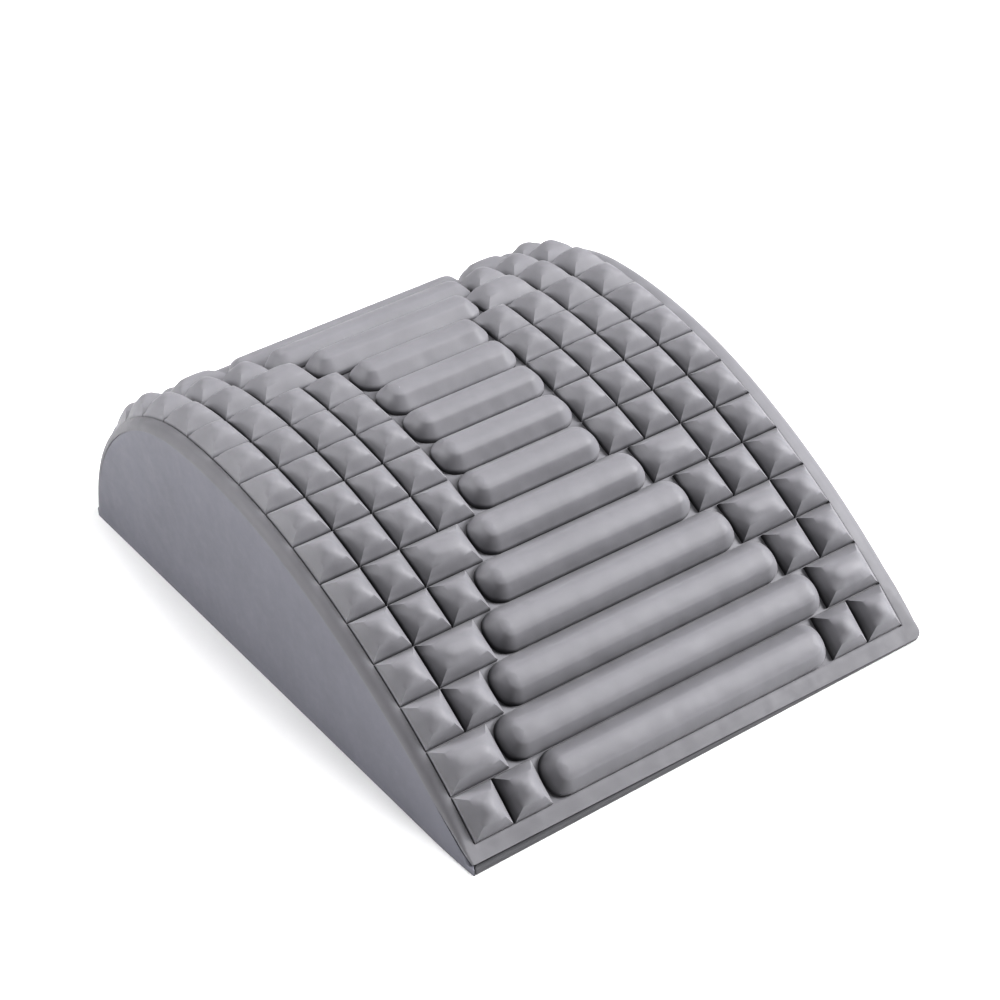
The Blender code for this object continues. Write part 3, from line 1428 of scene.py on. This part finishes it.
def drop_to_level(piece: Object, level: float) -> None:
    """Extrude an open sheet straight down to a level, which closes it.

    Args:
        piece: The sheet, open in edit mode.
        level: Height of the flat underside.
    """
    bpy.ops.mesh.select_all(action='SELECT')
    bpy.ops.mesh.extrude_region_move(TRANSFORM_OT_translate={"value": (0.0, 0.0, -0.001)})
    bpy.ops.transform.resize(value=(1.0, 1.0, 0.0), center_override=(0.0, 0.0, level))
    tidy_open_mesh()


@dataclass(frozen=True)
class SideSkin:
    """A thin skin that closes one side wall, from the mat's edge to the floor.

    Args:
        line: The side line of the mat's surface.
        stations: Lengths along the line where the skin's top edge bends.
        side: Which wall it closes.
        half_width: Half the pillow's width.
        edge: The mat's side edge, which the skin meets.
        footprint: The pillow's outline on the floor.
        finish: The foam's finish.
        thickness: The skin's thickness.
        seam: Gap between it and the mat.
        gaps: Middle, reach and width of each place where the seam opens.
        foot_gap: How far its foot stays under the mat's end.
    """

    line: SideLine
    stations: list[float]
    side: Side
    half_width: float
    edge: MatEdge
    footprint: Footprint
    finish: FoamFinish
    thickness: float = 0.0020
    seam: float = 0.00003
    gaps: tuple[tuple[float, float, float], ...] = ((0.350, 0.045, 0.00028), (0.011, 0.026, 0.00085))
    foot_gap: float = 0.0001

    @property
    def foot_top(self) -> float:
        """Height of the skin's foot, just under the mat's end."""
        return self.line.mat_floor - self.foot_gap

    def depth_at(self, length: float) -> float:
        """Depth of the seam with the mat, which opens a little at the shoulder and at the lip.

        Args:
            length: The length along the side line.

        Returns:
            The depth under the mat's surface.
        """
        opened = 0.0
        for middle, reach, width in self.gaps:
            off = limited(abs(length - middle) / reach)
            opened += width * (1.0 - off * off) ** 2
        return self.edge.seam_depth(length) + self.seam + opened

    def build(self) -> Object:
        """Model and dress the skin.

        Returns:
            The finished skin.
        """
        inner = self.half_width - self.thickness
        left, right = sorted((self.side.value * self.half_width, self.side.value * inner))
        name = f"{self.side.name.lower()}_side_skin_foam"
        skin = strip_over_line(self.line, self.stations, left, right, self.depth_at, name)
        start_edit(skin)
        cut_off_below(self.foot_top, fill=False)
        drop_to_level(skin, 0.0)
        cut_at(Axis.Z, self.foot_top)
        self.draw_foot(skin, self.footprint.front, -1.0)
        self.draw_foot(skin, self.footprint.back, 1.0)
        self.footprint.cut_corners()
        tidy_open_mesh()
        face_outwards(skin)
        end_edit()
        self.footprint.round_corners(skin, self.line.mat_floor)
        smooth_by_angle(skin, 40.0)
        skin.data.materials.append(self.finish.make())
        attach(skin, "root")
        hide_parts(f"{self.side.name.lower()}_side_skin")
        return skin

    def draw_foot(self, skin: Object, reach: float, forwards: float) -> None:
        """Draw the skin's foot out to the front or back edge, under the mat's end.

        Args:
            skin: The skin, open in edit mode.
            reach: y of that edge.
            forwards: -1 for the front and 1 for the back.
        """
        if select(skin, Part.FACE, lambda face: face.normal.y * forwards > ALONG_AXIS
                  and face.calc_center_median().z < self.foot_top):
            end = next(face for face in bmesh.from_edit_mesh(skin.data).faces if face.select)
            shift = reach - end.calc_center_median().y
            if shift * forwards > SMALL:
                bpy.ops.mesh.extrude_region_move(TRANSFORM_OT_translate={"value": (0.0, shift, 0.0)})


@dataclass(frozen=True)
class BaseSheet:
    """The thin sheet that closes the underside, between the skins.

    Args:
        low: Lowest corner of the CAD's sheet.
        high: Highest corner of the CAD's sheet.
        footprint: The pillow's outline on the floor.
        finish: The rubber's finish.
        edge_rounding: Rounding of its edges.
    """

    low: Vector
    high: Vector
    footprint: Footprint
    finish: FoamFinish
    edge_rounding: float = 0.0010

    def build(self) -> Object:
        """Model and dress the sheet.

        Returns:
            The finished sheet.
        """
        sheet = start_shape(bpy.ops.mesh.primitive_cube_add, "base_sheet_rubber", tuple(self.high - self.low),
                            tuple((self.high + self.low) / 2))
        bpy.ops.mesh.bevel(offset=self.edge_rounding, segments=3, affect='EDGES')
        self.footprint.cut_corners()
        self.footprint.cut_sides()
        tidy_open_mesh()
        face_outwards(sheet)
        end_edit()
        self.footprint.round_corners(sheet, self.high.z + SMALL)
        smooth_by_angle(sheet, 40.0)
        sheet.data.materials.append(self.finish.make())
        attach(sheet, "root")
        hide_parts("base_sheet")
        return sheet


# Studio


@dataclass(frozen=True)
class PhotoCamera:
    """The camera of the photograph, as fitted to the grid of grooves.

    Args:
        place: Where it stands.
        lens: Focal length in millimetres.
        sensor: Width of the sensor in millimetres.
        yaw: How far it is turned from looking along +Y.
        pitch: How far it looks down.
        roll: How far it is tipped sideways.
        clip: The nearest and the farthest distance that it sees.
    """

    place: tuple[float, float, float] = (-0.6400, -0.9148, 0.8670)
    lens: float = 102.74
    sensor: float = 36.0
    yaw: float = math.radians(-35.239)
    pitch: float = math.radians(36.385)
    roll: float = math.radians(-1.365)
    clip: tuple[float, float] = (0.05, 50.0)

    def build(self) -> None:
        """Make the camera and look through it."""
        level_right = Vector((math.cos(self.yaw), math.sin(self.yaw), 0.0))
        level_forward = Vector((-math.sin(self.yaw), math.cos(self.yaw), 0.0))
        upright = Vector((0.0, 0.0, 1.0))
        forward = math.cos(self.pitch) * level_forward - math.sin(self.pitch) * upright
        raised = math.sin(self.pitch) * level_forward + math.cos(self.pitch) * upright
        right = math.cos(self.roll) * level_right + math.sin(self.roll) * raised
        up = math.cos(self.roll) * raised - math.sin(self.roll) * level_right
        data = bpy.data.cameras.new("photo_camera")
        data.lens = self.lens
        data.sensor_width = self.sensor
        data.sensor_fit = 'HORIZONTAL'
        data.clip_start, data.clip_end = self.clip
        camera = bpy.data.objects.new("photo_camera", data)
        bpy.context.scene.collection.objects.link(camera)
        turn = Matrix((right, up, -forward)).transposed().to_4x4()
        camera.matrix_world = Matrix.Translation(self.place) @ turn
        bpy.context.scene.camera = camera


@dataclass(frozen=True)
class SoftBox:
    """A square studio light that faces the pillow.

    Args:
        name: The light's name.
        azimuth: Direction from the pillow, in degrees: 0 is +X and 90 is +Y.
        elevation: Height over the horizon, in degrees.
        power: Its power in watts.
        size: Its side.
        distance: Its distance from the pillow.
        target: Height of the point that it faces.
    """

    name: str
    azimuth: float
    elevation: float
    power: float
    size: float = 1.25
    distance: float = 4.5
    target: float = 0.05

    def build(self) -> None:
        """Make the light and turn it to the pillow."""
        around = math.radians(self.azimuth)
        above = math.radians(self.elevation)
        level = math.cos(above)
        way = Vector((math.cos(around) * level, math.sin(around) * level, math.sin(above)))
        data = bpy.data.lights.new(self.name, 'AREA')
        data.shape = 'SQUARE'
        data.size = self.size
        data.energy = self.power
        lamp = bpy.data.objects.new(self.name, data)
        bpy.context.scene.collection.objects.link(lamp)
        lamp.location = way * self.distance + Vector((0.0, 0.0, self.target))
        lamp.rotation_euler = way.to_track_quat('Z', 'Y').to_euler()


@dataclass(frozen=True)
class Studio:
    """A plain pale floor, soft boxes and an even surrounding light.

    Args:
        surround: Strength of the surrounding light.
        floor_size: Side of the floor.
        floor_tones: Darkest and lightest grey of its paint.
        floor_mottle: Size of the paint's unevenness.
        floor_roughness: Roughness of the paint.
        floor_specular: Strength of the paint's highlights.
        contrast: How much steeper the picture's tones are than plain ones.
        boxes: The soft boxes.
    """

    surround: float = 0.01
    floor_size: float = 3.2
    floor_tones: tuple[float, float] = (0.90, 0.92)
    floor_mottle: float = 1.0 / 1.5
    floor_roughness: float = 0.9
    floor_specular: float = 0.2
    contrast: float = 1.45
    boxes: tuple[SoftBox, ...] = (
        SoftBox("key_box", -30.0, 32.0, 220.0),
        SoftBox("low_box", -30.0, 22.0, 120.0),
        SoftBox("high_box", -15.0, 50.0, 118.0),
        SoftBox("top_box", -60.0, 78.0, 7.6, size=0.45, distance=1.3),
        SoftBox("left_box", 154.0, 22.0, 144.0),
        SoftBox("left_back_box", 150.0, 40.0, 8.2, size=0.4, distance=1.3),
        SoftBox("back_box", 90.0, 40.0, 4.5, size=0.4, distance=1.3),
    )

    def build(self) -> None:
        """Set up the floor, the lights and the surroundings."""
        bpy.ops.object.select_all(action='DESELECT')
        bpy.ops.mesh.primitive_grid_add(x_subdivisions=8, y_subdivisions=8, size=self.floor_size)
        floor = name_piece(bpy.context.object, "studio_floor")
        floor.data.materials.append(self.floor_paint())
        for box in self.boxes:
            box.build()
        bpy.context.scene.world = self.surroundings()
        view = bpy.context.scene.view_settings
        view.view_transform = 'Standard'
        view.gamma = 1.0 / self.contrast

    def surroundings(self) -> World:
        """A dim even light all round, which looks white where the floor ends.

        Returns:
            The world.
        """
        world = bpy.data.worlds.new("studio_surround")
        world.use_nodes = True
        bench = NodeBench(world.node_tree)
        seen = bench.add("ShaderNodeLightPath", {}, {}).outputs["Is Camera Ray"]
        strength = bench.add("ShaderNodeMix", {"A": self.surround, "B": 1.0}, {"Factor": seen})
        bench.fit(world.node_tree.nodes["Background"], {"Color": (1.0, 1.0, 1.0, 1.0)},
                  {"Strength": strength.outputs["Result"]})
        return world

    def floor_paint(self) -> Material:
        """The floor's matte white paint, with very faint unevenness.

        Returns:
            The material.
        """
        material, bench, shader = new_material("studio_white")
        dark, light = ((tone, tone, tone) for tone in self.floor_tones)
        paint = bench.ramp(bench.noise(self.floor_mottle, detail=2.0), dark, light)
        bench.fit(shader, {"Roughness": self.floor_roughness, "Specular IOR Level": self.floor_specular},
                  {"Base Color": paint})
        return material


def main() -> None:
    """Build the pillow and the studio, and report each piece."""
    mat_low, mat_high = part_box("massage_mat")
    base_low, base_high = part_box("base_sheet")
    half_width = (mat_high.x - mat_low.x) / 2
    line = SideLine(front=base_low.y, base_top=base_high.z)
    layout = MassageLayout(start=line.texture_start, half_width=half_width)
    # The mat's finish darkens the feet of its forms strongly with painted shade
    mat_finish = FoamFinish("moulded_grey_foam", (0.206, 0.2035, 0.2175), painted_feet_shade=0.86)
    skin_finish = FoamFinish("side_grey_foam", (0.154, 0.154, 0.178), rubbed=0.03, uneven=0.0008)
    core_finish = FoamFinish("open_core_foam", (0.17, 0.17, 0.18), roughness=0.85, grain=0.0015,
                             relief=0.0002)
    base_finish = FoamFinish("grip_rubber", (0.088, 0.088, 0.094), roughness=0.72, grain=0.0010,
                             relief=0.0001)
    edge = MatEdge()
    footprint = Footprint(base_low.y, base_high.y, half_width, layout.half_texture)
    mat = MassageMat(line, layout, edge, footprint, mat_finish)
    stations = mat.stations()
    pieces = [mat.build()]
    wedge_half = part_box("foam_core")[1].x
    pieces.append(FoamWedge(line, stations, wedge_half, mat.thickness + line.joint, core_finish).build())
    for side in Side:
        pieces.append(SideSkin(line, stations, side, half_width, edge, footprint, skin_finish).build())
    pieces.append(BaseSheet(base_low, base_high, footprint, base_finish).build())
    for piece in pieces:
        log.info("%s: %d faces", piece.name, len(piece.data.polygons))
    PhotoCamera().build()
    Studio().build()


if __name__ == "__main__":
    logging.basicConfig(level=logging.INFO, format="%(name)s: %(message)s")
    main()
